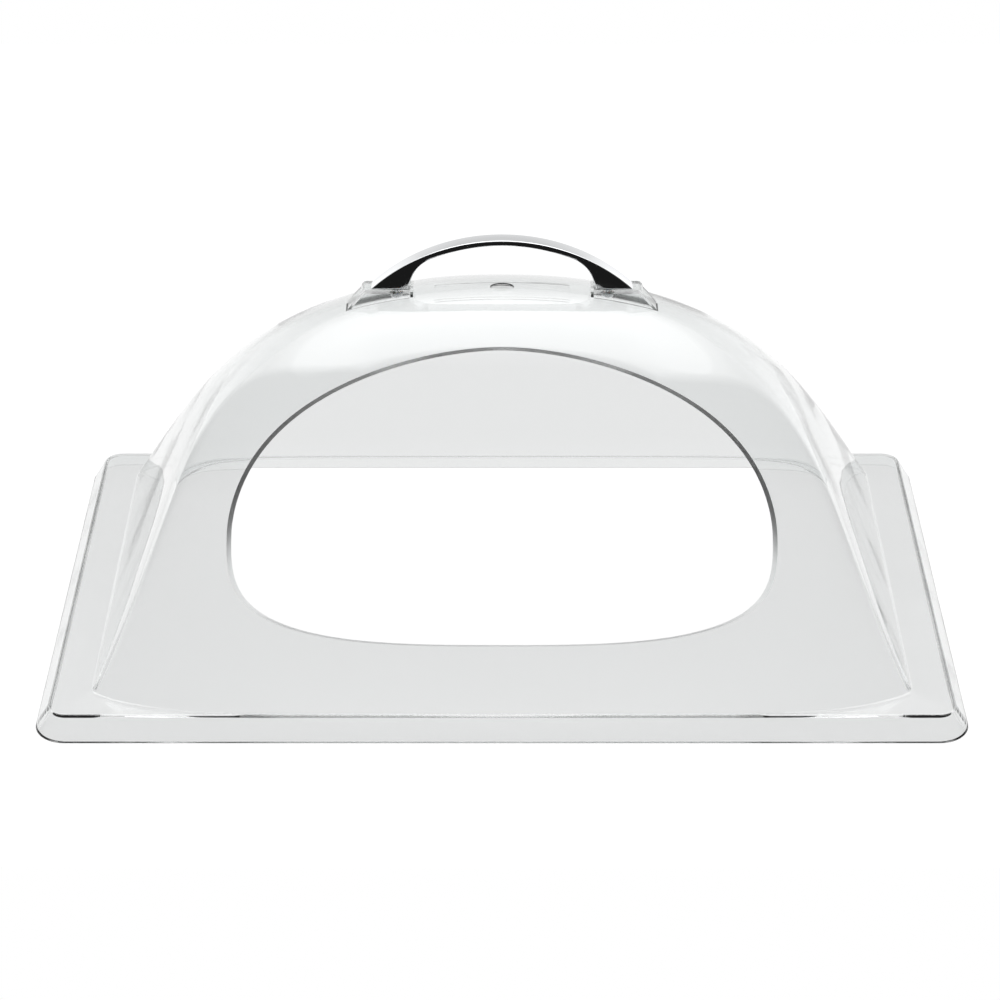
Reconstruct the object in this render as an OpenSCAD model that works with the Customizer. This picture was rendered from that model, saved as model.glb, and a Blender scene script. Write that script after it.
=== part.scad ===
// Clear display cover for a buffet tray: an arched dome with one oval serving opening,
// a flat ledge with a flared skirt that drops over the tray, and a bow handle on top.
// Millimetres. +Z is up, the skirt's foot stands on z = 0, X runs along the tray and
// the serving opening faces -Y. The origin is the middle of the foot.

/* [Tray] */
// Length of the tray that the cover drops over
tray_length = 508; // [480:1:540]
// Width of the tray that the cover drops over
tray_width = 305; // [290:1:330]
// Gap all round between the tray and the skirt's foot
tray_gap = 2.5; // [1:0.1:5]

/* [Rim] */
// Thickness of the moulded wall
wall = 3; // [2:0.1:4]
// Height of the ledge above the table
ledge_height = 13.8; // [11:0.1:20]
// How far the skirt leans out from the ledge to its foot
skirt_flare = 8.6; // [5:0.1:10.5]
// Radius of the rim's corners at the foot
rim_corner = 19; // [13:0.5:24]
// Rounding of the ledge's outer edge
ledge_round = 2.4; // [0.5:0.1:3]

/* [Dome] */
// Height of the ridge above the table
ridge_height = 203; // [185:1:225]
// Width of the ledge outside the end walls
end_ledge = 22.4; // [12:0.1:35]
// Width of the ledge outside the middle of the long walls
side_ledge = 1.5; // [0.5:0.1:8]
// How far the long walls draw in from their middle to the corners
wall_bow = 22; // [12:0.5:28]
// Lean of the end walls at the ledge, in degrees from upright
end_lean = 28.6; // [22:0.1:36]
// Lean of the long walls at the ledge, in degrees from upright
side_lean = 24.5; // [14:0.1:30]

/* [Serving opening] */
// Height of the sill, from the ledge up to the opening
sill_height = 34.2; // [25:0.1:45]
// Rise from the sill to the opening's widest level
sill_rise = 51; // [40:0.5:60]
// Drop from the ridge down to the opening's top
crown_drop = 14.7; // [12:0.1:30]
// Wall left between the opening's side and the dome's end, at the widest level
side_band = 37; // [28:0.5:60]
// How far behind the middle the lines of the cut edge meet, on the table plane
cut_depth = 30; // [10:1:60]

/* [Handle] */
// Length of the handle over its feet
handle_length = 147; // [140:1:160]
// Height of the handle above its seats
handle_rise = 29.5; // [27:0.5:34]
// Width of the handle from front to back
handle_width = 9.5; // [8:0.1:14]
// Thickness of the bow where it is gripped
grip_thickness = 3.2; // [2.8:0.1:5]
// Length of each foot on its seat
foot_length = 20.5; // [18:0.5:23]
// Lean of the feet's inner faces, in degrees from upright
foot_lean = 20; // [12:1:25]
// Radius between each foot and the bow
foot_fillet = 20; // [12:0.5:24]
// Rounding of the bow's upper edges
edge_round = 0.5; // [0.3:0.1:3]
// Height of the handle's seats above the ridge
seat_rise = 1; // [0.5:0.1:3]
// How far the seat bosses stand out past the bow's outer line
boss_lip = 2; // [0.5:0.1:4]
// How far the seat bosses reach inwards past the feet
boss_toe = 3; // [1:0.1:5]
// How far the seat bosses stand out past what sits on them, front and back
boss_margin = 0.5; // [0.3:0.1:2]
// Wall of the seat bosses round their hollows
boss_wall = 1.6; // [1.2:0.1:3]

/* [Screws] */
// Diameter of the screws
screw_d = 4; // [3:0.1:5]
// Diameter of the screw heads
head_d = 7; // [6.5:0.1:7.5]
// Height of the screw heads
head_height = 2.6; // [2:0.1:3]
// How deep the screws bite into the feet
thread_bite = 7.5; // [5:0.1:8]
// Distance from a foot's outer end to its screw
screw_inset = 14; // [12.5:0.1:15.5]
// Diameter of the washers
washer_d = 8; // [7.5:0.1:9]
// Thickness of the washers
washer_thickness = 1; // [0.5:0.1:1.5]

/* [Hidden] */

// Facets of the curved shell, and of the arcs in outlines
quarter_columns = 16;
shell_levels = 18;
edge_points = 72;
arc_steps = 12;
bow_facets = 360;
$fn = 64;

// One overrun serves all cuts
overrun = 1;
// Radial play of a screw in its clearance hole, in its washer and in its tapped hole
hole_play = 0.25;
washer_play = 0.15;
thread_play = 0.03;
// Room between a screw's tip and the end of its tapped hole
tip_room = 1;
// Room round the washers inside the seat bosses
washer_room = 0.4;
// Cross recess of the screw heads, and the rounding of their edges
recess_length = 4.4;
recess_width = 1;
recess_depth = 1.5;
head_round = 1.6;

// Control handles of the dome's arch, as shares of its rise, half length and half width
wall_pull_share = 0.468;
long_pull_share = 0.768;
cross_pull_share = 0.503;
// Softness of the plan's corners at the ledge and at the ridge, and how it grows upwards
base_soft_share = 0.01;
ridge_soft_share = 0.5;
soft_start = 1.8;
soft_end = 3.1;
// How late the long walls draw in towards their corners
bow_power = 7;
// How the shell's columns crowd towards the creases
column_crowding = 1.6;
// Fullness of the opening's upper and lower halves
upper_power = 1.88;
lower_power = 3.1;
// Reach of the opening's cutter, as shares of the lines to the cut edge
cut_near_share = 0.7;
cut_far_share = 1.3;

// Rim
flare_angle = atan(skirt_flare / ledge_height);
foot_width = wall / cos(flare_angle);
cover_length = tray_length + 2 * (tray_gap + foot_width);
cover_width = tray_width + 2 * (tray_gap + foot_width);
ledge_under = ledge_height - wall;
frame_length = cover_length - 2 * rim_corner;
frame_width = cover_width - 2 * rim_corner;

// Dome
half_length = cover_length / 2 - skirt_flare - end_ledge;
half_width = cover_width / 2 - skirt_flare - side_ledge;
dome_rise = ridge_height - ledge_height;
wall_pull = wall_pull_share * dome_rise;
rise_points = [ledge_height, ledge_height + wall_pull, ridge_height, ridge_height];
length_points = [half_length, half_length - wall_pull * tan(end_lean), half_length * long_pull_share, 0];
width_points = [half_width, half_width - wall_pull * tan(side_lean), half_width * cross_pull_share, 0];
outer_shares = [1, 1, 1];
inner_shares = [
    1 - wall / cos(end_lean) / half_length,
    1 - wall / cos(side_lean) / half_width,
    1 - wall / dome_rise
];

// Opening
sill_z = ledge_height + sill_height;
widest_z = sill_z + sill_rise;
opening_top_z = ridge_height - crown_drop;
opening_half = bezier(length_points, solve(rise_points, widest_z)) - side_band;
cut_origin = [0, cut_depth, 0];

// Handle and its seats
seat_z = ridge_height + seat_rise;
half_span = handle_length / 2;
bow_radius = (half_span ^ 2 + handle_rise ^ 2) / (2 * handle_rise);
bow_z = seat_z + handle_rise - bow_radius;
inner_radius = bow_radius - grip_thickness;
foot_inner = half_span - foot_length;
screw_x = half_span - screw_inset;
pad_z = seat_z - wall;
boss_width = max(handle_width + 2 * boss_margin, washer_d + 2 * (washer_room + boss_wall));
boss_inner = foot_inner - boss_toe;
boss_radius = bow_radius + boss_lip;
washer_z = pad_z - washer_thickness;
screw_length = seat_z + thread_bite - washer_z;

// Cubic curve through its first and last value, drawn towards the two between them
function bezier(points, t) =
    points[0] * (1 - t) ^ 3 + 3 * points[1] * (1 - t) ^ 2 * t + 3 * points[2] * (1 - t) * t ^ 2
    + points[3] * t ^ 3;

// Where a steadily rising or falling curve takes a value, by halving
function solve(points, value, low = 0, high = 1, steps = 30) =
    let (
        middle = (low + high) / 2,
        past = (bezier(points, middle) - value) * (points[3] - points[0]) > 0
    )
    steps == 0 ? middle
    : past ? solve(points, value, low, middle, steps - 1)
    : solve(points, value, middle, high, steps - 1);

// Reach of a unit squared circle in a direction
function reach(angle, power) = (abs(cos(angle)) ^ power + abs(sin(angle)) ^ power) ^ (-1 / power);

// Squareness of the plan at a level of the dome
function level_power(t) =
    let (grown = 1 - (1 - t ^ soft_start) ^ soft_end)
    1 / (base_soft_share + (ridge_soft_share - base_soft_share) * grown);

// Half width of the dome at a level, for a share of its half length
function level_width(share, t) =
    bezier(width_points, t) - wall_bow * (1 - t) * abs(share) ^ bow_power;

// Point of the dome's surface in a direction and at a level
function dome_point(angle, t, shares) =
    let (
        r = reach(angle, level_power(t)),
        along_share = r * cos(angle),
        across_share = r * sin(angle)
    )
    [
        bezier(length_points, t) * along_share * shares.x,
        level_width(along_share, t) * across_share * shares.y,
        ledge_height + (bezier(rise_points, t) - ledge_height) * shares.z
    ];

// Height of the arch over its middle line
function arch_z(x) = bezier(rise_points, solve(length_points, x));

// Distance of the front wall from the middle plane
function front_y(x, z) =
    let (
        t = solve(rise_points, z),
        power = level_power(t),
        along_share = abs(x) / bezier(length_points, t)
    )
    level_width(along_share, t) * (1 - along_share ^ power) ^ (1 / power);

// Directions of the shell's columns, crowded towards the creases
columns = [
    for (quarter = [0:3], i = [0:quarter_columns - 1])
        let (share = 2 * i / quarter_columns - 1)
        90 * quarter + 45 * (1 + sign(share) * abs(share) ^ column_crowding)
];
column_count = len(columns);

// One row of the shell, and the row that carries it down through the ledge
function shell_row(t, shares) = [for (angle = columns) dome_point(angle, t, shares)];
function ledge_row(shares) = [for (p = shell_row(0, shares)) [p.x, p.y, ledge_under]];
function shell_side(shares) = [
    each ledge_row(shares),
    for (i = [0:shell_levels - 1]) each shell_row(i / shell_levels, shares),
    dome_point(0, 1, shares)
];
function next(i) = (i + 1) % column_count;

// Points on an arc from one angle to another
function arc(centre, radius, from, to) = [
    for (i = [0:arc_steps])
        let (angle = from + (to - from) * i / arc_steps)
        centre + radius * [cos(angle), sin(angle)]
];
function mirrored(points) = [for (i = [len(points) - 1:-1:0]) [-points[i].x, points[i].y]];

// The dome alone, an even wall closed at its foot inside the ledge
module shell() {
    side = shell_side(outer_shares);
    inside = len(side);
    top = inside - 1;
    faces = [
        for (row = [0:shell_levels - 1], i = [0:column_count - 1])
            let (
                a = row * column_count + i,
                b = row * column_count + next(i),
                c = b + column_count,
                d = a + column_count
            )
            each [
                [a, d, c],
                [a, c, b],
                [inside + a, inside + c, inside + d],
                [inside + a, inside + b, inside + c]
            ],
        for (i = [0:column_count - 1])
            let (
                a = shell_levels * column_count + i,
                b = shell_levels * column_count + next(i)
            )
            each [[a, top, b], [inside + a, inside + b, inside + top]],
        for (i = [0:column_count - 1])
            each [[i, next(i), inside + next(i)], [i, inside + next(i), inside + i]]
    ];
    polyhedron([each side, each shell_side(inner_shares)], faces);
}

// Section of the rim outwards from the line of its corner centres
module rim_section() {
    under = rim_corner - foot_width - skirt_flare * ledge_under / ledge_height;
    round_start = rim_corner - skirt_flare - ledge_round * tan((90 - flare_angle) / 2);
    polygon([
        [0, ledge_under],
        [under, ledge_under],
        [rim_corner - foot_width, 0],
        [rim_corner, 0],
        each arc([round_start, ledge_height - ledge_round], ledge_round, flare_angle, 90),
        [0, ledge_height]
    ]);
}

// A straight run of the rim, seen from the middle towards +X
module rim_run(length) {
    rotate([90, 0, 0]) linear_extrude(length, center = true) rim_section();
}

// Ledge and flared skirt, open where the dome stands
module rim() {
    outside = shell_row(0, outer_shares);
    inside = shell_row(0, inner_shares);
    middle = [
        for (i = [0:column_count - 1])
            [outside[i].x + inside[i].x, outside[i].y + inside[i].y] / 2
    ];
    difference() {
        union() {
            translate([-frame_length / 2, -frame_width / 2, ledge_under])
                cube([frame_length, frame_width, wall]);
            for (turn = [0, 180]) rotate(turn) {
                translate([frame_length / 2, 0, 0]) rim_run(frame_width);
                rotate(90) translate([frame_width / 2, 0, 0]) rim_run(frame_length);
                translate([frame_length / 2, frame_width / 2, 0])
                    rotate_extrude(angle = 90) rim_section();
                translate([-frame_length / 2, frame_width / 2, 0])
                    rotate(90) rotate_extrude(angle = 90) rim_section();
            }
        }
        translate([0, 0, ledge_under - overrun]) linear_extrude(wall + 2 * overrun) polygon(middle);
    }
}

// Cutter of the serving opening: all its lines meet at one point behind the middle
module opening_cutter() {
    edge = [
        for (i = [0:edge_points - 1])
            let (
                angle = 360 * i / edge_points,
                upper = sin(angle) > 0,
                r = reach(angle, upper ? upper_power : lower_power),
                x = opening_half * r * cos(angle),
                z = widest_z + (upper ? opening_top_z - widest_z : sill_rise) * r * sin(angle)
            )
            [x, -front_y(x, z), z]
    ];
    heart = [0, -front_y(0, widest_z), widest_z];
    near = [for (p = [each edge, heart]) cut_origin + cut_near_share * (p - cut_origin)];
    far = [for (p = [each edge, heart]) cut_origin + cut_far_share * (p - cut_origin)];
    count = len(near);
    faces = [
        for (i = [0:edge_points - 1])
            let (j = (i + 1) % edge_points)
            each [
                [edge_points, i, j],
                [count + edge_points, count + j, count + i],
                [i, count + i, count + j],
                [i, count + j, j]
            ]
    ];
    polyhedron([each near, each far], faces);
}

// Height of the boss's outer line, and where it runs into the middle of the dome's wall
function boss_height(x) = bow_z + sqrt(boss_radius ^ 2 - x ^ 2);
function boss_end(low, high, steps = 30) =
    let (middle = (low + high) / 2)
    steps == 0 ? middle
    : boss_height(middle) > arch_z(middle) - wall / 2 ? boss_end(middle, high, steps - 1)
    : boss_end(low, middle, steps - 1);
end_x = boss_end(half_span, boss_radius);

// Seat of the right foot: a wedge a little outside the bow's own line
module boss() {
    from = acos(end_x / boss_radius);
    to = asin((seat_z - bow_z) / boss_radius);
    outline = [
        each arc([0, bow_z], boss_radius, from, to),
        [boss_inner, seat_z],
        for (i = [0:arc_steps - 1])
            let (x = boss_inner + (end_x - boss_inner) * i / arc_steps)
            [x, arch_z(x) - wall / 2]
    ];
    rotate([90, 0, 0]) linear_extrude(boss_width, center = true) polygon(outline);
}

// Hollow of the right seat, open below, with room for the screw's head and washer
module boss_hollow() {
    radius = boss_radius - boss_wall;
    low_z = arch_z(end_x) - 2 * wall;
    from = asin((low_z - bow_z) / radius);
    to = asin((pad_z - bow_z) / radius);
    outline = [
        each arc([0, bow_z], radius, from, to),
        [boss_inner + boss_wall, pad_z],
        [boss_inner + boss_wall, low_z]
    ];
    rotate([90, 0, 0]) linear_extrude(boss_width - 2 * boss_wall, center = true) polygon(outline);
}

// One-piece moulded cover
module dome_cover() {
    color([0.88, 0.91, 0.92, 0.35])
    difference() {
        union() {
            shell();
            rim();
            boss();
            mirror([1, 0, 0]) boss();
        }
        boss_hollow();
        mirror([1, 0, 0]) boss_hollow();
        opening_cutter();
        for (x = [-screw_x, screw_x])
            translate([x, 0, pad_z - overrun])
                cylinder(h = seat_z - pad_z + 2 * overrun, r = screw_d / 2 + hole_play);
    }
}

// Open space between the handle's feet, under the bow
module grip_window() {
    foot = [foot_inner, seat_z];
    up = [-sin(foot_lean), cos(foot_lean)];
    inward = [-cos(foot_lean), -sin(foot_lean)];
    offset = foot + foot_fillet * inward - [0, bow_z];
    rise = -offset * up + sqrt((offset * up) ^ 2 - offset * offset + (inner_radius - foot_fillet) ^ 2);
    fillet_centre = foot + foot_fillet * inward + rise * up;
    turn = atan2(fillet_centre.y - bow_z, fillet_centre.x);
    right = [
        [foot_inner, seat_z - overrun],
        foot,
        each arc(fillet_centre, foot_fillet, foot_lean, turn),
        each arc([0, bow_z], inner_radius, turn, 90)
    ];
    polygon([each right, each mirrored(right)]);
}

// Section of the bow from its centre outwards, with rounded upper edges
module bow_section() {
    half = handle_width / 2;
    corner = [bow_radius - edge_round, half - edge_round];
    upper = arc(corner, edge_round, 0, 90);
    lower = [for (i = [arc_steps:-1:0]) [upper[i].x, -upper[i].y]];
    polygon([[0, -half], each lower, each upper, [0, half]]);
}

// Cast bow handle with two tapped feet
module handle() {
    color("silver")
    difference() {
        intersection() {
            rotate([90, 0, 0]) linear_extrude(handle_width + 2 * overrun, center = true)
                difference() {
                    translate([-bow_radius, seat_z]) square([2 * bow_radius, bow_radius]);
                    grip_window();
                }
            translate([0, 0, bow_z]) rotate([90, 0, 0])
                rotate_extrude($fn = bow_facets) bow_section();
        }
        for (x = [-screw_x, screw_x])
            translate([x, 0, seat_z - overrun])
                cylinder(h = thread_bite + tip_room + overrun, r = screw_d / 2 + thread_play);
    }
}

// Cheese-head screw, driven upwards from inside the dome
module screw() {
    color("gainsboro")
    translate([0, 0, washer_z]) {
        cylinder(h = screw_length, d = screw_d);
        difference() {
            rotate_extrude() polygon([
                [0, 0],
                [0, -head_height],
                each arc([head_d / 2 - head_round, head_round - head_height], head_round, -90, 0),
                [head_d / 2, 0]
            ]);
            for (turn = [0, 90])
                rotate(turn) translate([-recess_length / 2, -recess_width / 2, -head_height - overrun])
                    cube([recess_length, recess_width, recess_depth + overrun]);
        }
    }
}

// Plain washer between a screw head and the top of its hollow
module washer() {
    color("whitesmoke")
    translate([0, 0, washer_z]) difference() {
        cylinder(h = washer_thickness, d = washer_d);
        translate([0, 0, -overrun])
            cylinder(h = washer_thickness + 2 * overrun, r = screw_d / 2 + washer_play);
    }
}

module left_screw() { translate([-screw_x, 0, 0]) screw(); }
module right_screw() { translate([screw_x, 0, 0]) screw(); }
module left_washer() { translate([-screw_x, 0, 0]) washer(); }
module right_washer() { translate([screw_x, 0, 0]) washer(); }

dome_cover();
handle();
left_screw();
right_screw();
left_washer();
right_washer();
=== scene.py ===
import math

import bmesh
import bpy
import numpy as np
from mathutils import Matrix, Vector


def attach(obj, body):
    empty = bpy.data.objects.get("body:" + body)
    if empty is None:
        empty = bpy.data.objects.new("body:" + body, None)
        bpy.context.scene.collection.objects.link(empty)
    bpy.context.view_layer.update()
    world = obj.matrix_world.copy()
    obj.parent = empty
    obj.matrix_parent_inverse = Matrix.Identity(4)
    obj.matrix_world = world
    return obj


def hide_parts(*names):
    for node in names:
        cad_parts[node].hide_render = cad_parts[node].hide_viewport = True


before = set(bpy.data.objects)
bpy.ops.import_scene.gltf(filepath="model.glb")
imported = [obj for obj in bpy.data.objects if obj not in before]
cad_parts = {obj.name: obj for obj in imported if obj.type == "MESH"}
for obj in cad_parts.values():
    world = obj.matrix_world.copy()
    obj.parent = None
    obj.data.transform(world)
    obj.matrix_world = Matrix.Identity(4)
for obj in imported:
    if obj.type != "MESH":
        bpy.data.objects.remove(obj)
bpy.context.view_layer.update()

# Sizes of the cover in millimetres, as in the part's source
MM = 0.001
TRAY_LENGTH = 508.0
TRAY_WIDTH = 305.0
TRAY_GAP = 2.5
WALL = 3.0
LEDGE = 13.8
FLARE = 8.6
RIM_CORNER = 19.0
RIDGE = 203.0
END_LEDGE = 22.4
SIDE_LEDGE = 1.5
WALL_BOW = 22.0
END_LEAN = math.radians(28.6)
SIDE_LEAN = math.radians(24.5)
SILL_HEIGHT = 34.2
SILL_RISE = 51.0
CROWN_DROP = 14.7
SIDE_BAND = 37.0
CUT_DEPTH = 30.0

# Shares and powers that shape the dome and its opening
WALL_PULL_SHARE = 0.468
LONG_PULL_SHARE = 0.768
CROSS_PULL_SHARE = 0.503
BASE_SOFT_SHARE = 0.01
RIDGE_SOFT_SHARE = 0.5
SOFT_START = 1.8
SOFT_END = 3.1
BOW_POWER = 7
UPPER_POWER = 1.88
LOWER_POWER = 3.1
CUT_NEAR_SHARE = 0.7
CUT_FAR_SHARE = 1.3

# What follows from them
LEDGE_UNDER = LEDGE - WALL
FOOT_WIDTH = WALL / math.cos(math.atan(FLARE / LEDGE))
COVER_LENGTH = TRAY_LENGTH + 2 * (TRAY_GAP + FOOT_WIDTH)
COVER_WIDTH = TRAY_WIDTH + 2 * (TRAY_GAP + FOOT_WIDTH)
FRAME_X = COVER_LENGTH / 2 - RIM_CORNER
FRAME_Y = COVER_WIDTH / 2 - RIM_CORNER
HALF_LENGTH = COVER_LENGTH / 2 - FLARE - END_LEDGE
HALF_WIDTH = COVER_WIDTH / 2 - FLARE - SIDE_LEDGE
PULL = WALL_PULL_SHARE * (RIDGE - LEDGE)
RISE_POINTS = (LEDGE, LEDGE + PULL, RIDGE, RIDGE)
LENGTH_POINTS = (HALF_LENGTH, HALF_LENGTH - PULL * math.tan(END_LEAN), HALF_LENGTH * LONG_PULL_SHARE, 0.0)
WIDTH_POINTS = (HALF_WIDTH, HALF_WIDTH - PULL * math.tan(SIDE_LEAN), HALF_WIDTH * CROSS_PULL_SHARE, 0.0)
OUTSIDE = (1.0, 1.0, 1.0)
INSIDE = (
    1 - WALL / math.cos(END_LEAN) / HALF_LENGTH,
    1 - WALL / math.cos(SIDE_LEAN) / HALF_WIDTH,
    1 - WALL / (RIDGE - LEDGE),
)
WIDEST_Z = LEDGE + SILL_HEIGHT + SILL_RISE
CROWN_Z = RIDGE - CROWN_DROP
CUT_ORIGIN = np.array((0.0, CUT_DEPTH, 0.0))

# Sizes of the handle, its seats and its screws
SEAT_RISE = 1.0
HALF_SPAN = 73.5
BOW_RISE = 29.5
GRIP = 3.2
HANDLE_WIDTH = 9.5
FOOT_LENGTH = 20.5
FOOT_LEAN = math.radians(20)
FOOT_FILLET = 20.0
EDGE_ROUND = 0.5
BOSS_TOE = 3.0
BOSS_LIP = 2.0
BOSS_HALF = 6.0
BOSS_WALL = 1.6
SCREW_INSET = 14.0
HOLE_R = 2.25
OVERRUN = 1.0
SEAT_Z = RIDGE + SEAT_RISE
PAD_Z = SEAT_Z - WALL
BOW_RADIUS = (HALF_SPAN ** 2 + BOW_RISE ** 2) / (2 * BOW_RISE)
BOW_Z = SEAT_Z + BOW_RISE - BOW_RADIUS
FOOT_INNER = HALF_SPAN - FOOT_LENGTH
BOSS_INNER = FOOT_INNER - BOSS_TOE
BOSS_RADIUS = BOW_RADIUS + BOSS_LIP
SCREW_X = HALF_SPAN - SCREW_INSET

# Roundings that the part's source leaves out or has at another size, and the flats beside them
LEDGE_ROUND = 2.1
LEDGE_LIP = 1.49
FOOT_ROUND = 0.9
CRISP_ROUND = 0.6
FULL_ROUND = 3.5
UNDER_LIP = 0.9
UNDER_LIP_SHARE = 0.4
BOSS_ROUND = 3.2
BOW_LOW_ROUND = 0.7
BOW_TOP_SHARE = 0.6
BOW_LOW_SHARE = 0.3

# Soft corner where the dome meets the ledge, and how much of the ledge it may take
BASE_RUN = 1.6
BASE_MOST_SHARE = 0.45
UNDER_RUN = 3.0
UNDER_MOST_SHARE = 0.95

# Stretches of the rim where the corner under the ledge is fuller
FULL_FROM_X = 135.0
FULL_GROWTH = 12.0
FULL_TO_X = 226.0
FULL_FADE = 6.0
END_FULL_TO_Y = 128.0
END_FULL_SHARE = 0.5

# Oval dish that the moulding gate leaves on the ridge
DISH_HALF_LENGTH = 6.8
DISH_HALF_WIDTH = 5.4
DISH_Y = 0.5
DISH_DEPTH = 0.97

# Added roughness of the opening's edge and of the hollows
CUT_DULL = 0.45
POCKET_DULL = 0.25

# Fineness of the dome's mesh
QUARTER_COLUMNS = 80
COLUMN_CROWDING = 1.6
LEVELS = 90


# Curves and surface of the dome

def bezier(points, t):
    a, b, c, d = points
    return a * (1 - t) ** 3 + 3 * b * (1 - t) ** 2 * t + 3 * c * (1 - t) * t ** 2 + d * t ** 3


def solve(points, value, steps=44):
    # Where a curve that only rises or only falls takes a value
    value = np.asarray(value, float)
    low = np.zeros_like(value)
    high = np.ones_like(value)
    sign = math.copysign(1, points[3] - points[0])
    for _ in range(steps):
        middle = (low + high) / 2
        past = (bezier(points, middle) - value) * sign > 0
        high = np.where(past, middle, high)
        low = np.where(past, low, middle)
    return (low + high) / 2


def reach(angle, power):
    return (np.abs(np.cos(angle)) ** power + np.abs(np.sin(angle)) ** power) ** (-1 / power)


def level_power(t):
    grown = 1 - (1 - t ** SOFT_START) ** SOFT_END
    return 1 / (BASE_SOFT_SHARE + (RIDGE_SOFT_SHARE - BASE_SOFT_SHARE) * grown)


def level_width(share, t):
    return bezier(WIDTH_POINTS, t) - WALL_BOW * (1 - t) * np.abs(share) ** BOW_POWER


def dome_points(angle, t, shares):
    r = reach(angle, level_power(t))
    along = r * np.cos(angle)
    across = r * np.sin(angle)
    x = bezier(LENGTH_POINTS, t) * along * shares[0]
    y = level_width(along, t) * across * shares[1]
    z = LEDGE + (bezier(RISE_POINTS, t) - LEDGE) * shares[2]
    return np.stack((x, y, z + 0 * x), axis=-1)


def dome_normals(places, shares):
    # Normals of the smooth surface at points that lie on it, pointing outwards
    x, y, z = places[:, 0], places[:, 1], places[:, 2]
    t = solve(RISE_POINTS, LEDGE + (z - LEDGE) / shares[2])
    step = 1e-4
    t = np.clip(t, 2 * step, 1 - 2 * step)
    along = x / shares[0] / bezier(LENGTH_POINTS, t)
    across = y / shares[1] / level_width(np.clip(along, -1, 1), t)
    angle = np.arctan2(across, along)
    around = dome_points(angle + step, t, shares) - dome_points(angle - step, t, shares)
    up = dome_points(angle, t + step, shares) - dome_points(angle, t - step, shares)
    normal = np.cross(around, up)
    return normal / np.linalg.norm(normal, axis=1, keepdims=True)


def front_y(x, z):
    t = solve(RISE_POINTS, z)
    power = level_power(t)
    along = np.abs(x) / bezier(LENGTH_POINTS, t)
    return level_width(along, t) * (1 - along ** power) ** (1 / power)


def arch_z(x):
    return bezier(RISE_POINTS, solve(LENGTH_POINTS, x))


def column_angles():
    share = 2 * np.arange(QUARTER_COLUMNS) / QUARTER_COLUMNS - 1
    quarter = 45 * (1 + np.sign(share) * np.abs(share) ** COLUMN_CROWDING)
    return np.radians(np.concatenate([quarter + 90 * k for k in range(4)]))


ANGLES = column_angles()
COUNT = len(ANGLES)


def rim_ring(outs, heights):
    # One ring of the rim, so far out from the line of its corner centres
    ring = np.zeros((COUNT, 3))
    # Share of a side that is straight, before the corner's arc begins
    bend = 0.9
    for i, angle in enumerate(ANGLES):
        out = outs[i]
        c, s = math.cos(angle), math.sin(angle)
        if abs(c) >= abs(s):
            share = abs(s / c)
            turn = math.radians(45) * max(0.0, share - bend) / (1 - bend)
            x = FRAME_X + out * math.cos(turn)
            y = FRAME_Y * min(1.0, share / bend) + out * math.sin(turn)
        else:
            share = abs(c / s)
            turn = math.radians(45) * max(0.0, share - bend) / (1 - bend)
            x = FRAME_X * min(1.0, share / bend) + out * math.sin(turn)
            y = FRAME_Y + out * math.cos(turn)
        ring[i] = (math.copysign(x, c), math.copysign(y, s), heights[i])
    return ring


def rounded_path(corners, steps=6, hold=0.15):
    # A path with its inner corners rounded: each corner is a point and a radius
    path = [Vector(corners[0][0])]
    for (before, _), (corner, radius), (after, _) in zip(corners, corners[1:], corners[2:]):
        corner = Vector(corner)
        back = (Vector(before) - corner).normalized()
        ahead = (Vector(after) - corner).normalized()
        half = back.angle(ahead) / 2
        run = radius / math.tan(half)
        centre = corner + (back + ahead).normalized() * radius / math.sin(half)
        start = corner + back * run - centre
        end = corner + ahead * run - centre
        path.append(corner + back * (run + hold))
        turn = start.angle(end)
        for k in range(steps + 1):
            a = math.sin((1 - k / steps) * turn) / math.sin(turn)
            b = math.sin(k / steps * turn) / math.sin(turn)
            path.append(centre + a * start + b * end)
        path.append(corner + ahead * (run + hold))
    path.append(Vector(corners[-1][0]))
    return path


# Meshes

def link(name, mesh):
    piece = bpy.data.objects.new(name, mesh)
    bpy.context.scene.collection.objects.link(piece)
    return piece


def mesh_from(name, places, faces, groups=None):
    mesh = bpy.data.meshes.new(name)
    mesh.from_pydata([tuple(p) for p in np.asarray(places) * MM], [], faces)
    if groups is not None:
        mesh.polygons.foreach_set("material_index", groups)
    mesh.update()
    return mesh


# Groups of faces on the cover
OUTER, INNER, RIM, SEAT, POCKET, CUT = range(6)


def bend_rings(start, corner, end, run, most, steps=7):
    # Rings of a soft corner that leaves a wall and runs out on at most a share of the flat
    gap = end - corner
    width = np.maximum(np.linalg.norm(gap, axis=1, keepdims=True), 1e-6)
    stop = corner + gap / width * np.minimum(run, most * width)
    rings = []
    for k in range(1, steps + 1):
        s = k / steps
        rings.append(start * (1 - s) ** 2 + corner * 2 * s * (1 - s) + stop * s ** 2)
    return rings


def rim_section(under_round):
    # Section from the ledge over the skirt to the underside, as a path outwards and up
    under = RIM_CORNER - FOOT_WIDTH - FLARE * LEDGE_UNDER / LEDGE
    edge = RIM_CORNER - FLARE
    return rounded_path([
        ((edge - LEDGE_LIP, LEDGE), 0),
        ((edge, LEDGE), LEDGE_ROUND),
        ((RIM_CORNER, 0), FOOT_ROUND),
        ((RIM_CORNER - FOOT_WIDTH, 0), FOOT_ROUND),
        ((under, LEDGE_UNDER), under_round),
        ((under - UNDER_LIP - UNDER_LIP_SHARE * under_round, LEDGE_UNDER), 0),
    ])


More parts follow.
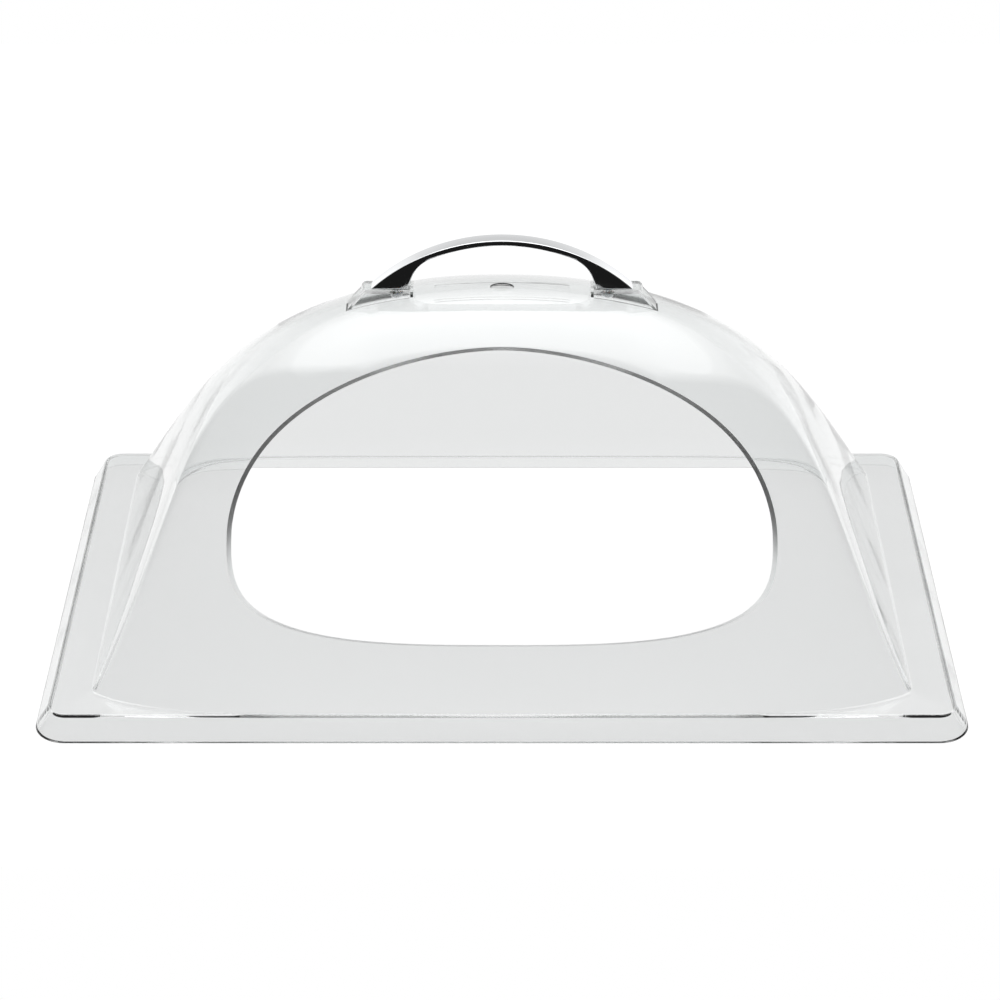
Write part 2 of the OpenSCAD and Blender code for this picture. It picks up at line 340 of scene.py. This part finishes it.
def rim_rings():
    # The corner under the ledge is crisp at the rim's corners and in the middle, and fuller in between
    along, across = np.abs(rim_ring(np.full(COUNT, RIM_CORNER), np.zeros(COUNT))[:, :2]).T
    grown = np.clip((along - FULL_FROM_X) / FULL_GROWTH, 0, 1)
    full = grown * np.clip((FULL_TO_X - along) / FULL_FADE, 0, 1)
    full = np.maximum(full, END_FULL_SHARE * np.clip((END_FULL_TO_Y - across) / FULL_FADE, 0, 1))
    rings = []
    for crisp_point, full_point in zip(rim_section(CRISP_ROUND), rim_section(FULL_ROUND)):
        outs = crisp_point[0] + (full_point[0] - crisp_point[0]) * full
        heights = crisp_point[1] + (full_point[1] - crisp_point[1]) * full
        rings.append(rim_ring(outs, heights))
    return rings


def cover_shell():
    # Dome, ledge and skirt as one closed skin
    levels = np.arange(LEVELS) / LEVELS
    outer = [dome_points(ANGLES, t, OUTSIDE) for t in levels]
    inner = [dome_points(ANGLES, t, INSIDE) for t in levels]
    rim = rim_rings()
    low = solve(RISE_POINTS, LEDGE + BASE_RUN)
    start = dome_points(ANGLES, low, OUTSIDE)
    root = bend_rings(start, outer[0], rim[0], BASE_RUN, BASE_MOST_SHARE)
    # Levels in the soft corner or close above it are left out
    next_level = 1.3 * low
    outer = [start] + [ring for ring, t in zip(outer, levels) if t > next_level]
    slope = inner[0] - inner[1]
    foot = inner[0] + slope * (WALL / -slope[:, 2:])
    lip = bend_rings(inner[0], foot, rim[-1], UNDER_RUN, UNDER_MOST_SHARE)[::-1]
    rings = outer[::-1] + root + rim + lip + inner
    groups = [OUTER] * (len(outer) - 1) + [RIM] * (len(root) + len(rim) + len(lip) + 1)
    groups += [INNER] * (LEVELS - 1)
    places = list(np.concatenate(rings))
    faces = []
    marks = []
    for k in range(len(rings) - 1):
        for i in range(COUNT):
            j = (i + 1) % COUNT
            faces.append((k * COUNT + i, (k + 1) * COUNT + i, (k + 1) * COUNT + j, k * COUNT + j))
            marks.append(groups[k])
    top = len(places)
    places.append(np.array((0, 0, RIDGE)))
    places.append(np.array((0, 0, RIDGE - WALL)))
    last = (len(rings) - 1) * COUNT
    for i in range(COUNT):
        j = (i + 1) % COUNT
        faces.append((top, i, j))
        faces.append((top + 1, last + j, last + i))
        marks += [OUTER, INNER]
    return mesh_from("dome_cover_clear", places, faces, marks)


def opening_cutter(points=480):
    # Lines from the cut's origin through the oval edge on the outer face
    angle = np.radians(360 * np.arange(points) / points)
    upper = np.sin(angle) > 0
    r = reach(angle, np.where(upper, UPPER_POWER, LOWER_POWER))
    half = bezier(LENGTH_POINTS, solve(RISE_POINTS, WIDEST_Z)) - SIDE_BAND
    x = half * r * np.cos(angle)
    z = WIDEST_Z + np.where(upper, CROWN_Z - WIDEST_Z, SILL_RISE) * r * np.sin(angle)
    edge = np.stack((x, -front_y(x, z), z), axis=-1)
    heart = np.array([(0, -front_y(np.array(0.0), WIDEST_Z), WIDEST_Z)], float)
    whole = np.concatenate((edge, heart)) - CUT_ORIGIN
    places = np.concatenate((CUT_ORIGIN + CUT_NEAR_SHARE * whole, CUT_ORIGIN + CUT_FAR_SHARE * whole))
    far = points + 1
    faces = []
    for i in range(points):
        j = (i + 1) % points
        faces.append((points, i, j))
        faces.append((far + points, far + j, far + i))
        faces.append((i, far + i, far + j, j))
    return mesh_from("cutter", places, faces, [CUT] * len(faces))


def prism(outline, half, group):
    # An outline in x and z, carried from front to back
    count = len(outline)
    places = [(x, -half, z) for x, z in outline] + [(x, half, z) for x, z in outline]
    faces = [tuple(range(count)), tuple(reversed(range(count, 2 * count)))]
    for i in range(count):
        j = (i + 1) % count
        faces.append((i, count + i, count + j, j))
    return mesh_from("prism", places, faces, [group] * len(faces))


def boss_arc(radius, low, high, points=12):
    # Points up the seat's outer line or its inner one, between two heights
    heights = np.linspace(low, high, points)
    return [(math.sqrt(radius ** 2 - (z - BOW_Z) ** 2), z) for z in heights]


def boss_end(farthest=98.0, points=400):
    # Where the seat's outer line runs into the middle of the dome's wall
    x = np.linspace(HALF_SPAN, farthest, points)
    line = BOW_Z + np.sqrt(BOSS_RADIUS ** 2 - x ** 2)
    return float(x[np.argmin(np.abs(line - arch_z(x) + WALL / 2))])


def boss_outline(edge_steps=6, floor_points=14):
    # Wedge a little outside the bow's own line, down into the middle of the dome's wall
    end = boss_end()
    outline = boss_arc(BOSS_RADIUS, float(arch_z(end)) - WALL / 2, SEAT_Z - BOSS_ROUND)
    # Rounded upper edge
    x, z = outline[-1]
    for k in range(1, edge_steps + 1):
        turn = math.radians(90 * k / edge_steps)
        outline.append((x - BOSS_ROUND * (1 - math.cos(turn)), z + BOSS_ROUND * math.sin(turn)))
    outline.append((BOSS_INNER, SEAT_Z))
    low = np.linspace(BOSS_INNER, end, floor_points)[:-1]
    outline += [(a, float(arch_z(a)) - WALL / 2) for a in low]
    return outline


def hollow_outline():
    # Hollow of the seat, open below, with room for the screw's head and washer
    low = float(arch_z(boss_end())) - 2 * WALL
    outline = boss_arc(BOSS_RADIUS - BOSS_WALL, low, PAD_Z)
    outline.append((BOSS_INNER + BOSS_WALL, PAD_Z))
    outline.append((BOSS_INNER + BOSS_WALL, low))
    return outline


def cylinder(x, y, low, high, radius, count=48):
    angle = np.radians(360 * np.arange(count) / count)
    ring = np.stack((x + radius * np.cos(angle), y + radius * np.sin(angle)), axis=-1)
    places = [(a, b, low) for a, b in ring] + [(a, b, high) for a, b in ring]
    faces = [tuple(reversed(range(count))), tuple(range(count, 2 * count))]
    for i in range(count):
        j = (i + 1) % count
        faces.append((i, j, count + j, count + i))
    return mesh_from("cylinder", places, faces, [SEAT] * len(faces))


def gate_dish(count=48):
    # Oval dish with a steep edge: shares of its outline, and heights over the ridge
    profile = ((0.3, -0.95), (0.6, -0.9), (0.86, -0.78), (0.93, -0.6), (1.0, 0.0), (1.1, 0.9), (1.11, 1.5))
    angle = np.radians(360 * np.arange(count) / count)
    places = [(0, DISH_Y, RIDGE - DISH_DEPTH)]
    for share, height in profile:
        for a in angle:
            x = share * DISH_HALF_LENGTH * math.cos(a)
            y = DISH_Y + share * DISH_HALF_WIDTH * math.sin(a)
            places.append((x, y, RIDGE + height))
    faces = [(0, 1 + (i + 1) % count, 1 + i) for i in range(count)]
    for k in range(len(profile) - 1):
        low, high = 1 + count * k, 1 + count * (k + 1)
        for i in range(count):
            j = (i + 1) % count
            faces.append((low + i, low + j, high + j, high + i))
    top = 1 + count * (len(profile) - 1)
    faces.append(tuple(range(top, top + count)))
    return mesh_from("dish", places, faces, [POCKET] * len(faces))


def add_slots(mesh):
    # One empty slot for each group of faces
    for _ in range(CUT + 1):
        mesh.materials.append(None)


def outward(mesh):
    work = bmesh.new()
    work.from_mesh(mesh)
    bmesh.ops.recalc_face_normals(work, faces=work.faces)
    work.to_mesh(mesh)
    work.free()
    return mesh


def combine(piece, mesh, operation):
    # One exact boolean, applied at once
    tool = link("tool", outward(mesh))
    add_slots(tool.data)
    change = piece.modifiers.new("combine", "BOOLEAN")
    change.operation = operation
    change.solver = "EXACT"
    change.object = tool
    bpy.context.view_layer.update()
    graph = bpy.context.evaluated_depsgraph_get()
    result = bpy.data.meshes.new_from_object(piece.evaluated_get(graph))
    piece.modifiers.clear()
    piece.data = result
    bpy.data.objects.remove(tool)


def smooth_cover(mesh, sharp=math.radians(28)):
    # Sharp edges stay, and the dome's faces get the normals of the true surface
    mesh.shade_smooth()
    mesh.set_sharp_from_angle(angle=sharp)
    places = np.zeros(len(mesh.vertices) * 3)
    mesh.vertices.foreach_get("co", places)
    places = places.reshape(-1, 3) / MM
    groups = np.zeros(len(mesh.polygons), int)
    mesh.polygons.foreach_get("material_index", groups)
    sizes = np.zeros(len(mesh.polygons), int)
    mesh.polygons.foreach_get("loop_total", sizes)
    corners = np.zeros(len(mesh.loops), int)
    mesh.loops.foreach_get("vertex_index", corners)
    group_of = np.repeat(groups, sizes)
    normals = np.zeros((len(corners), 3))
    for group, shares, sign in ((OUTER, OUTSIDE, 1), (INNER, INSIDE, -1)):
        chosen = group_of == group
        normals[chosen] = sign * dome_normals(places[corners[chosen]], shares)
    mesh.normals_split_custom_set([tuple(n) for n in normals])
    # The opening's edge is dull, and the hollows of the seats and the gate's dish are satin
    satin = np.where(groups == POCKET, POCKET_DULL, 0.0)
    dull = mesh.attributes.new("dull", "FLOAT", "FACE")
    dull.data.foreach_set("value", np.where(groups == CUT, CUT_DULL, satin))


def dome_cover():
    piece = link("dome_cover_clear", outward(cover_shell()))
    add_slots(piece.data)
    boss, hollow = boss_outline(), hollow_outline()
    for side in (1, -1):
        solid = prism([(side * x, z) for x, z in boss], BOSS_HALF, SEAT)
        combine(piece, solid, "UNION")
        space = prism([(side * x, z) for x, z in hollow], BOSS_HALF - BOSS_WALL, POCKET)
        combine(piece, space, "DIFFERENCE")
        hole = cylinder(side * SCREW_X, 0, PAD_Z - OVERRUN, SEAT_Z + OVERRUN, HOLE_R)
        combine(piece, hole, "DIFFERENCE")
    combine(piece, gate_dish(), "DIFFERENCE")
    combine(piece, opening_cutter(), "DIFFERENCE")
    smooth_cover(piece.data)
    return piece


def handle_profile(arc_points=400, fillet_points=200, stations=72):
    # Matching points down the outer and the inner line of the right half of the bow
    end = math.acos(HALF_SPAN / BOW_RADIUS)
    inner_radius = BOW_RADIUS - GRIP
    foot = Vector((FOOT_INNER, SEAT_Z))
    up = Vector((-math.sin(FOOT_LEAN), math.cos(FOOT_LEAN)))
    inward = Vector((-math.cos(FOOT_LEAN), -math.sin(FOOT_LEAN)))
    offset = foot + FOOT_FILLET * inward - Vector((0, BOW_Z))
    reach_in = inner_radius - FOOT_FILLET
    rise = -offset.dot(up) + math.sqrt(offset.dot(up) ** 2 - offset.dot(offset) + reach_in ** 2)
    centre = foot + FOOT_FILLET * inward + rise * up
    turn = math.atan2(centre.y - BOW_Z, centre.x)
    inner = []
    for a in np.linspace(math.pi / 2, turn, arc_points):
        inner.append((inner_radius * math.cos(a), BOW_Z + inner_radius * math.sin(a)))
    for a in np.linspace(turn, FOOT_LEAN, fillet_points)[1:]:
        inner.append((centre.x + FOOT_FILLET * math.cos(a), centre.y + FOOT_FILLET * math.sin(a)))
    inner.append(tuple(foot))
    inner = np.array(inner)
    steps = np.linalg.norm(np.diff(inner, axis=0), axis=1)
    run = np.concatenate(([0], np.cumsum(steps)))
    share = np.linspace(0, 1, stations)
    inner_line = np.stack([np.interp(share * run[-1], run, inner[:, k]) for k in (0, 1)], axis=-1)
    angles = math.pi / 2 + (end - math.pi / 2) * share
    outer_line = np.stack((BOW_RADIUS * np.cos(angles), BOW_Z + BOW_RADIUS * np.sin(angles)), axis=-1)
    return outer_line, inner_line


def section_ring(outer, inner, steps=6):
    # Rounded section of the bow between an outer and an inner point
    depth = np.linalg.norm(outer - inner)
    down = (inner - outer) / depth
    half = HANDLE_WIDTH / 2
    top = min(EDGE_ROUND, depth * BOW_TOP_SHARE)
    low = min(BOW_LOW_ROUND, depth * BOW_LOW_SHARE)
    flat = []
    corners = ((top, -half + top, top, 180), (top, half - top, top, 90))
    corners += ((depth - low, half - low, low, 0), (depth - low, -half + low, low, -90))
    for into, across, radius, start in corners:
        for k in range(steps + 1):
            a = math.radians(start - 90 * k / steps)
            flat.append((into - radius * math.sin(a), across + radius * math.cos(a)))
    return [(outer[0] + s * down[0], y, outer[1] + s * down[1]) for s, y in flat]


def handle_mesh(sharp=math.radians(40)):
    outer, inner = handle_profile()
    right = [section_ring(o, i) for o, i in zip(outer, inner)]
    left = [[(-x, y, z) for x, y, z in ring] for ring in right[:0:-1]]
    rings = left + right
    count = len(rings[0])
    places = [p for ring in rings for p in ring]
    last = (len(rings) - 1) * count
    faces = [tuple(range(count)), tuple(reversed(range(last, last + count)))]
    for k in range(len(rings) - 1):
        for i in range(count):
            j = (i + 1) % count
            faces.append((k * count + i, k * count + j, (k + 1) * count + j, (k + 1) * count + i))
    mesh = outward(mesh_from("handle_bow", places, faces))
    mesh.shade_smooth()
    mesh.set_sharp_from_angle(angle=sharp)
    return mesh


# Materials

def new_material(name):
    material = bpy.data.materials.new(name)
    material.use_nodes = True
    nodes = material.node_tree.nodes
    return material, nodes, material.node_tree.links, nodes["Principled BSDF"]


def noise(nodes, links, scale, detail):
    place = nodes.new("ShaderNodeTexCoord")
    texture = nodes.new("ShaderNodeTexNoise")
    texture.inputs["Scale"].default_value = scale
    texture.inputs["Detail"].default_value = detail
    links.new(place.outputs["Object"], texture.inputs["Vector"])
    return texture


def ramp_value(nodes, links, source, low, high, lowest, highest):
    change = nodes.new("ShaderNodeMapRange")
    change.inputs["From Min"].default_value = low
    change.inputs["From Max"].default_value = high
    change.inputs["To Min"].default_value = lowest
    change.inputs["To Max"].default_value = highest
    links.new(source, change.inputs["Value"])
    return change.outputs["Result"]


def math_node(nodes, links, operation, first, second):
    node = nodes.new("ShaderNodeMath")
    node.operation = operation
    for value, socket in ((first, node.inputs[0]), (second, node.inputs[1])):
        if isinstance(value, (int, float)):
            socket.default_value = value
        else:
            links.new(value, socket)
    return node.outputs[0]


def mottle(nodes, links, shader, scale, detail, smoothest, roughest):
    # Roughness that wanders a little over the surface
    texture = noise(nodes, links, scale, detail)
    rough = ramp_value(nodes, links, texture.outputs["Fac"], 0.3, 0.7, smoothest, roughest)
    links.new(rough, shader.inputs["Roughness"])


def witness_line(nodes, links):
    # Faint rectangular line of a mould insert round the gate, on the ridge
    half_length, half_width, forward = 0.0376, 0.0095, 0.0018
    line_width, lowest = 0.0005, 0.19
    place = nodes.new("ShaderNodeTexCoord")
    split = nodes.new("ShaderNodeSeparateXYZ")
    links.new(place.outputs["Object"], split.inputs["Vector"])
    x = math_node(nodes, links, "ABSOLUTE", split.outputs["X"], 0)
    y = math_node(nodes, links, "ADD", split.outputs["Y"], forward)
    y = math_node(nodes, links, "ABSOLUTE", y, 0)
    past_x = math_node(nodes, links, "SUBTRACT", x, half_length)
    past_y = math_node(nodes, links, "SUBTRACT", y, half_width)
    border = math_node(nodes, links, "MAXIMUM", past_x, past_y)
    border = math_node(nodes, links, "ABSOLUTE", border, 0)
    line = ramp_value(nodes, links, border, 0.0, line_width, 1.0, 0.0)
    above = math_node(nodes, links, "GREATER_THAN", split.outputs["Z"], lowest)
    return math_node(nodes, links, "MULTIPLY", line, above)


def clear_plastic():
    material, nodes, links, shader = new_material("clear_polycarbonate")
    shader.inputs["Base Color"].default_value = (0.97, 0.98, 0.98, 1)
    shader.inputs["Transmission Weight"].default_value = 1.0
    shader.inputs["IOR"].default_value = 1.585
    haze = noise(nodes, links, scale=30, detail=5)
    polish = ramp_value(nodes, links, haze.outputs["Fac"], 0.35, 0.75, 0.0, 0.02)
    dull = nodes.new("ShaderNodeAttribute")
    dull.attribute_name = "dull"
    links.new(math_node(nodes, links, "ADD", polish, dull.outputs["Fac"]), shader.inputs["Roughness"])
    wave = noise(nodes, links, scale=14, detail=1)
    swell = nodes.new("ShaderNodeBump")
    swell.inputs["Strength"].default_value = 0.5
    swell.inputs["Distance"].default_value = 0.0012
    links.new(wave.outputs["Fac"], swell.inputs["Height"])
    witness = nodes.new("ShaderNodeBump")
    witness.inputs["Strength"].default_value = 0.4
    witness.inputs["Distance"].default_value = 0.00013
    links.new(witness_line(nodes, links), witness.inputs["Height"])
    links.new(swell.outputs["Normal"], witness.inputs["Normal"])
    links.new(witness.outputs["Normal"], shader.inputs["Normal"])
    # Light for shadows passes straight through
    clear = nodes.new("ShaderNodeBsdfTransparent")
    clear.inputs["Color"].default_value = (0.97, 0.97, 0.97, 1)
    path = nodes.new("ShaderNodeLightPath")
    mix = nodes.new("ShaderNodeMixShader")
    output = nodes["Material Output"]
    links.new(path.outputs["Is Shadow Ray"], mix.inputs["Fac"])
    links.new(shader.outputs["BSDF"], mix.inputs[1])
    links.new(clear.outputs["BSDF"], mix.inputs[2])
    links.new(mix.outputs["Shader"], output.inputs["Surface"])
    tint = nodes.new("ShaderNodeVolumeAbsorption")
    tint.inputs["Color"].default_value = (0.5, 0.52, 0.51, 1)
    tint.inputs["Density"].default_value = 12.0
    links.new(tint.outputs["Volume"], output.inputs["Volume"])
    return material


def chrome():
    material, nodes, links, shader = new_material("chrome_plate")
    shader.inputs["Base Color"].default_value = (0.80, 0.81, 0.82, 1)
    shader.inputs["Metallic"].default_value = 1.0
    mottle(nodes, links, shader, scale=90, detail=5, smoothest=0.04, roughest=0.09)
    return material


def steel():
    material, nodes, links, shader = new_material("stainless_steel")
    shader.inputs["Base Color"].default_value = (0.75, 0.76, 0.77, 1)
    shader.inputs["Metallic"].default_value = 1.0
    mottle(nodes, links, shader, scale=900, detail=2, smoothest=0.22, roughest=0.36)
    return material


def nylon():
    material, nodes, links, shader = new_material("clear_nylon")
    shader.inputs["Base Color"].default_value = (0.90, 0.90, 0.88, 1)
    shader.inputs["Subsurface Weight"].default_value = 0.2
    mottle(nodes, links, shader, scale=600, detail=3, smoothest=0.4, roughest=0.55)
    return material


# Pieces

def dress(piece, material, node):
    piece.data.materials.clear()
    piece.data.materials.append(material)
    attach(piece, "root")
    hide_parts(node)


cover = dome_cover()
cover.data.polygons.foreach_set("material_index", [0] * len(cover.data.polygons))
dress(cover, clear_plastic(), "dome_cover")
bow = link("handle_bow", handle_mesh())
dress(bow, chrome(), "handle")
for name, finish in (("screw", steel()), ("washer", nylon())):
    for side in ("left", "right"):
        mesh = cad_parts[f"{side}_{name}"].data
        mesh.materials.clear()
        mesh.materials.append(finish)

# Stage: a white floor and surround, with painted shade where they are seen through the plastic, lit by a
# sweep behind and overhead and by one lamp

# Floor in metres, a hair under the foot
FLOOR_HALF = 0.9
FLOOR_FRONT = -0.27
FLOOR_BACK = 0.9
FLOOR_DROP = 0.0003
# Strength of the floor for the camera and in reflections, and its part beside the lit colour
FLOOR_WHITE = 1.04
FLOOR_PART = 0.85
# Painted shade for rays that come through the plastic, which see the floor below white: near, behind the
# cover and far
NEAR_PAINTED_SHADE = 0.8
BACK_PAINTED_SHADE = 0.74
FAR_PAINTED_LIFT = 0.2
# Painted shade in the same way on the surround, at floor level and higher up
LOW_PAINTED_SHADE = 0.8
HIGH_PAINTED_SHADE = 0.55
# Strengths of the surround that lights the object: the sweep's parts and the dim front
SWEEP_LOW = 1.0
SWEEP_MIDDLE = 0.75
SWEEP_HIGH = 2.2
SWEEP_SIDES = 0.7
FRONT_LOW = 0.012
FRONT_HIGH = 0.35
# How the sweep's edge leans with height, how it narrows, and its place to the right
SWEEP_LEAN = 0.15
SWEEP_NARROWING = 1.1
SWEEP_SPREAD = 0.45
SWEEP_RIGHT = 0.08
# Lamp overhead, in metres and watts
LAMP_PLACE = (0, 0.75, 1.6)
LAMP_TARGET = (0, 0.75, 0)
LAMP_WIDTH = 3.0
LAMP_DEPTH = 1.9
LAMP_POWER = 5
# Camera in metres, with its lens in millimetres
CAMERA_PLACE = (0, -1.5395, 0.9433)
CAMERA_TILT = math.radians(60.29)
CAMERA_LENS = 108.9
CAMERA_SENSOR = 36
CAMERA_SHIFT = -0.002


def white_floor():
    mesh = bpy.data.meshes.new("floor")
    x, front, back = FLOOR_HALF, FLOOR_FRONT, FLOOR_BACK
    mesh.from_pydata([(-x, front, 0), (x, front, 0), (x, back, 0), (-x, back, 0)], [], [(0, 1, 2, 3)])
    floor = link("floor", mesh)
    floor.location.z = -FLOOR_DROP
    material, nodes, links, shader = new_material("floor_white")
    shader.inputs["Base Color"].default_value = (0.9, 0.9, 0.9, 1)
    shader.inputs["Roughness"].default_value = 0.9
    shader.inputs["Specular IOR Level"].default_value = 0.0
    glow = nodes.new("ShaderNodeEmission")
    path = nodes.new("ShaderNodeLightPath")
    through = path.outputs["Is Transmission Ray"]
    place = nodes.new("ShaderNodeTexCoord")
    split = nodes.new("ShaderNodeSeparateXYZ")
    links.new(place.outputs["Object"], split.inputs["Vector"])
    # Painted shade: rays that come through the plastic see the floor glow below white, grey near and
    # behind the cover and lighter far off, which gives the clear walls their grey
    painted_shade = ramp_value(nodes, links, split.outputs["Y"], 0.12, 0.2, NEAR_PAINTED_SHADE, BACK_PAINTED_SHADE)
    far = ramp_value(nodes, links, split.outputs["Y"], 0.3, 0.42, 0.0, FAR_PAINTED_LIFT)
    painted_shade = math_node(nodes, links, "ADD", painted_shade, far)
    strength = nodes.new("ShaderNodeMix")
    strength.inputs["A"].default_value = FLOOR_WHITE
    links.new(through, strength.inputs["Factor"])
    links.new(painted_shade, strength.inputs["B"])
    links.new(strength.outputs["Result"], glow.inputs["Strength"])
    seen = math_node(nodes, links, "MAXIMUM", path.outputs["Is Camera Ray"], through)
    seen = math_node(nodes, links, "MAXIMUM", seen, path.outputs["Is Glossy Ray"])
    part = math_node(nodes, links, "MULTIPLY", seen, FLOOR_PART)
    mix = nodes.new("ShaderNodeMixShader")
    links.new(part, mix.inputs["Fac"])
    links.new(shader.outputs["BSDF"], mix.inputs[1])
    links.new(glow.outputs["Emission"], mix.inputs[2])
    links.new(mix.outputs["Shader"], nodes["Material Output"].inputs["Surface"])
    floor.data.materials.append(material)


def studio_world():
    world = bpy.data.worlds.new("studio")
    bpy.context.scene.world = world
    world.use_nodes = True
    nodes, links = world.node_tree.nodes, world.node_tree.links
    room = nodes["Background"]
    room.inputs["Color"].default_value = (1, 1, 1, 1)
    white = nodes.new("ShaderNodeBackground")
    white.inputs["Color"].default_value = (1, 1, 1, 1)
    path = nodes.new("ShaderNodeLightPath")
    through = path.outputs["Is Transmission Ray"]
    place = nodes.new("ShaderNodeTexCoord")
    split = nodes.new("ShaderNodeSeparateXYZ")
    links.new(place.outputs["Generated"], split.inputs["Vector"])
    x, y, z = split.outputs["X"], split.outputs["Y"], split.outputs["Z"]
    # Painted shade: rays that come through the plastic see the surround below white, darker higher up
    painted_shade = nodes.new("ShaderNodeMix")
    painted_shade.inputs["A"].default_value = 1.0
    links.new(through, painted_shade.inputs["Factor"])
    links.new(ramp_value(nodes, links, z, 0.0, 0.4, LOW_PAINTED_SHADE, HIGH_PAINTED_SHADE), painted_shade.inputs["B"])
    links.new(painted_shade.outputs["Result"], white.inputs["Strength"])
    # A white sweep behind and overhead, a little to the right, which narrows towards a dim front
    left = math_node(nodes, links, "MULTIPLY", x, -1)
    right = math_node(nodes, links, "SUBTRACT", x, SWEEP_RIGHT)
    side = math_node(nodes, links, "MAXIMUM", left, right)
    spread = math_node(nodes, links, "MULTIPLY", z, SWEEP_SPREAD)
    side = math_node(nodes, links, "SUBTRACT", side, spread)
    side = math_node(nodes, links, "MAXIMUM", side, 0)
    lean = math_node(nodes, links, "MULTIPLY", z, SWEEP_LEAN)
    edge = math_node(nodes, links, "ADD", y, lean)
    narrowing = math_node(nodes, links, "MULTIPLY", side, SWEEP_NARROWING)
    edge = math_node(nodes, links, "SUBTRACT", edge, narrowing)
    sweep = ramp_value(nodes, links, edge, -0.03, 0.07, 0.0, 1.0)
    low = ramp_value(nodes, links, z, 0.12, 0.42, SWEEP_LOW, SWEEP_MIDDLE)
    high = ramp_value(nodes, links, z, 0.5, 0.85, 0.0, SWEEP_HIGH)
    sideways = math_node(nodes, links, "ABSOLUTE", x, 0)
    wide = ramp_value(nodes, links, sideways, 0.35, 0.65, 0.0, SWEEP_SIDES)
    level = math_node(nodes, links, "ADD", low, high)
    level = math_node(nodes, links, "ADD", level, wide)
    level = math_node(nodes, links, "MULTIPLY", level, sweep)
    front = ramp_value(nodes, links, z, 0.0, 0.2, FRONT_LOW, FRONT_HIGH)
    level = math_node(nodes, links, "MAXIMUM", level, front)
    links.new(level, room.inputs["Strength"])
    seen = math_node(nodes, links, "MAXIMUM", path.outputs["Is Camera Ray"], through)
    mix = nodes.new("ShaderNodeMixShader")
    links.new(seen, mix.inputs["Fac"])
    links.new(room.outputs["Background"], mix.inputs[1])
    links.new(white.outputs["Background"], mix.inputs[2])
    links.new(mix.outputs["Shader"], nodes["World Output"].inputs["Surface"])


def overhead_lamp():
    lamp = bpy.data.lights.new("overhead", "AREA")
    lamp.shape = "ELLIPSE"
    lamp.size = LAMP_WIDTH
    lamp.size_y = LAMP_DEPTH
    lamp.energy = LAMP_POWER
    holder = bpy.data.objects.new("overhead", lamp)
    holder.location = LAMP_PLACE
    aim = Vector(LAMP_TARGET) - Vector(LAMP_PLACE)
    holder.rotation_euler = aim.to_track_quat("-Z", "Y").to_euler()
    bpy.context.scene.collection.objects.link(holder)


def camera():
    lens = bpy.data.cameras.new("camera")
    lens.sensor_width = CAMERA_SENSOR
    lens.lens = CAMERA_LENS
    lens.shift_x = CAMERA_SHIFT
    holder = bpy.data.objects.new("camera", lens)
    holder.location = CAMERA_PLACE
    holder.rotation_euler = (CAMERA_TILT, 0, 0)
    bpy.context.scene.collection.objects.link(holder)
    bpy.context.scene.camera = holder


white_floor()
studio_world()
overhead_lamp()
camera()
bpy.context.scene.view_settings.view_transform = "Standard"
# Deep enough paths for light that runs along inside the clear walls
bpy.context.scene.cycles.max_bounces = 32
bpy.context.scene.cycles.glossy_bounces = 16
bpy.context.scene.cycles.transmission_bounces = 32
